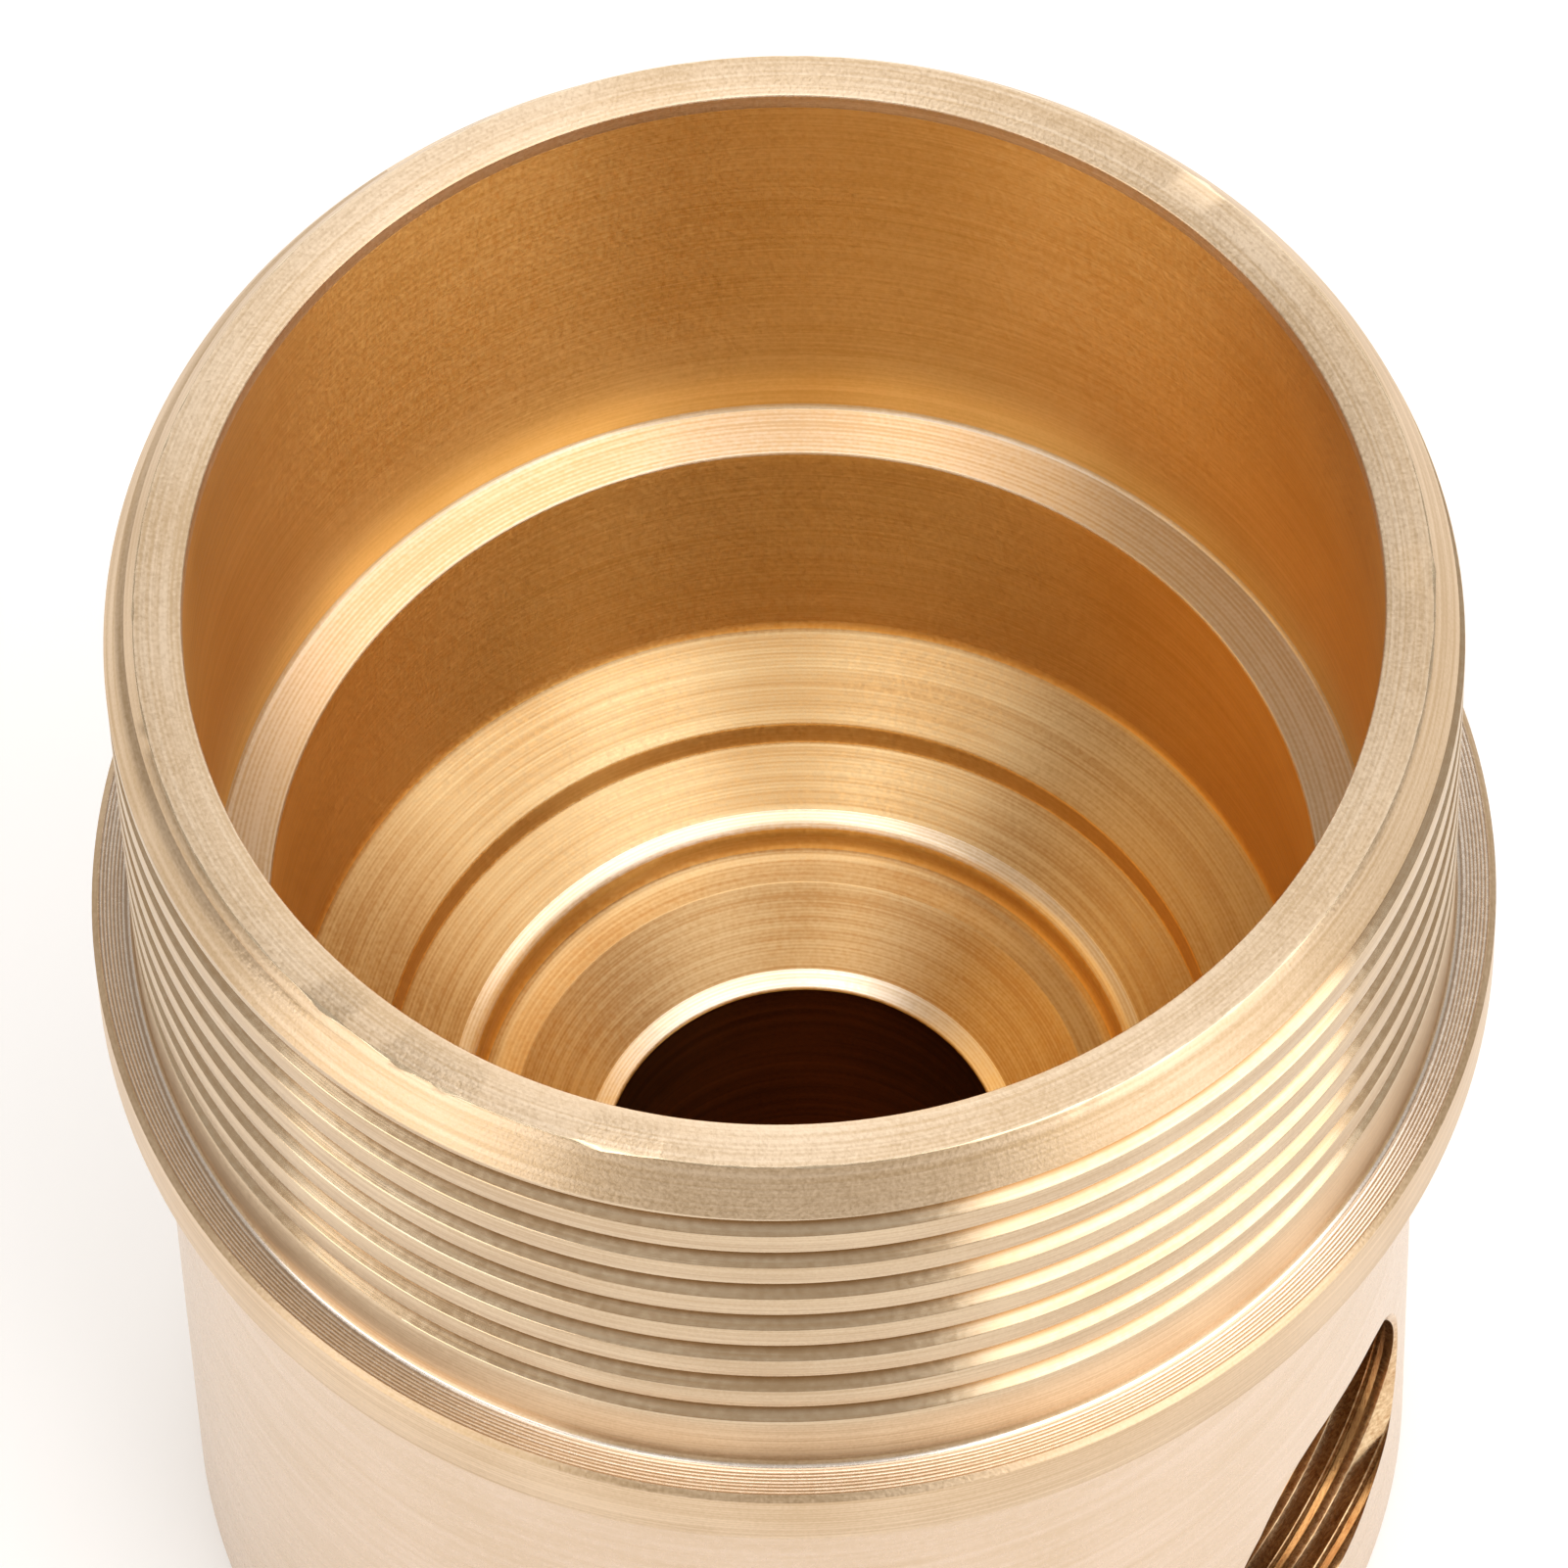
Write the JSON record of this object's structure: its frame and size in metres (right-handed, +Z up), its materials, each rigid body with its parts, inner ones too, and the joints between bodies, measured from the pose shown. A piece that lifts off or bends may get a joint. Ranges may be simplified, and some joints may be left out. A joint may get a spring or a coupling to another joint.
{
  "type": "turned brass valve body",
  "caption": "Round brass valve body with a threaded open socket, stepped seat inside, thin collar and a side port.",
  "frame": {"origin": "on the turned axis at the base face, the centre of the collar's circle", "axes": "+Z up out of the socket's mouth along the turned axis, +X out through the side port"},
  "size_m": [0.034, 0.034, 0.039],
  "materials": {
    "brass": "as turned, satin, with fine tool lines inside and a paler blasted body"
  },
  "bodies": {
    "root": {"valve_body": "brass"}
  },
  "joints": []
}
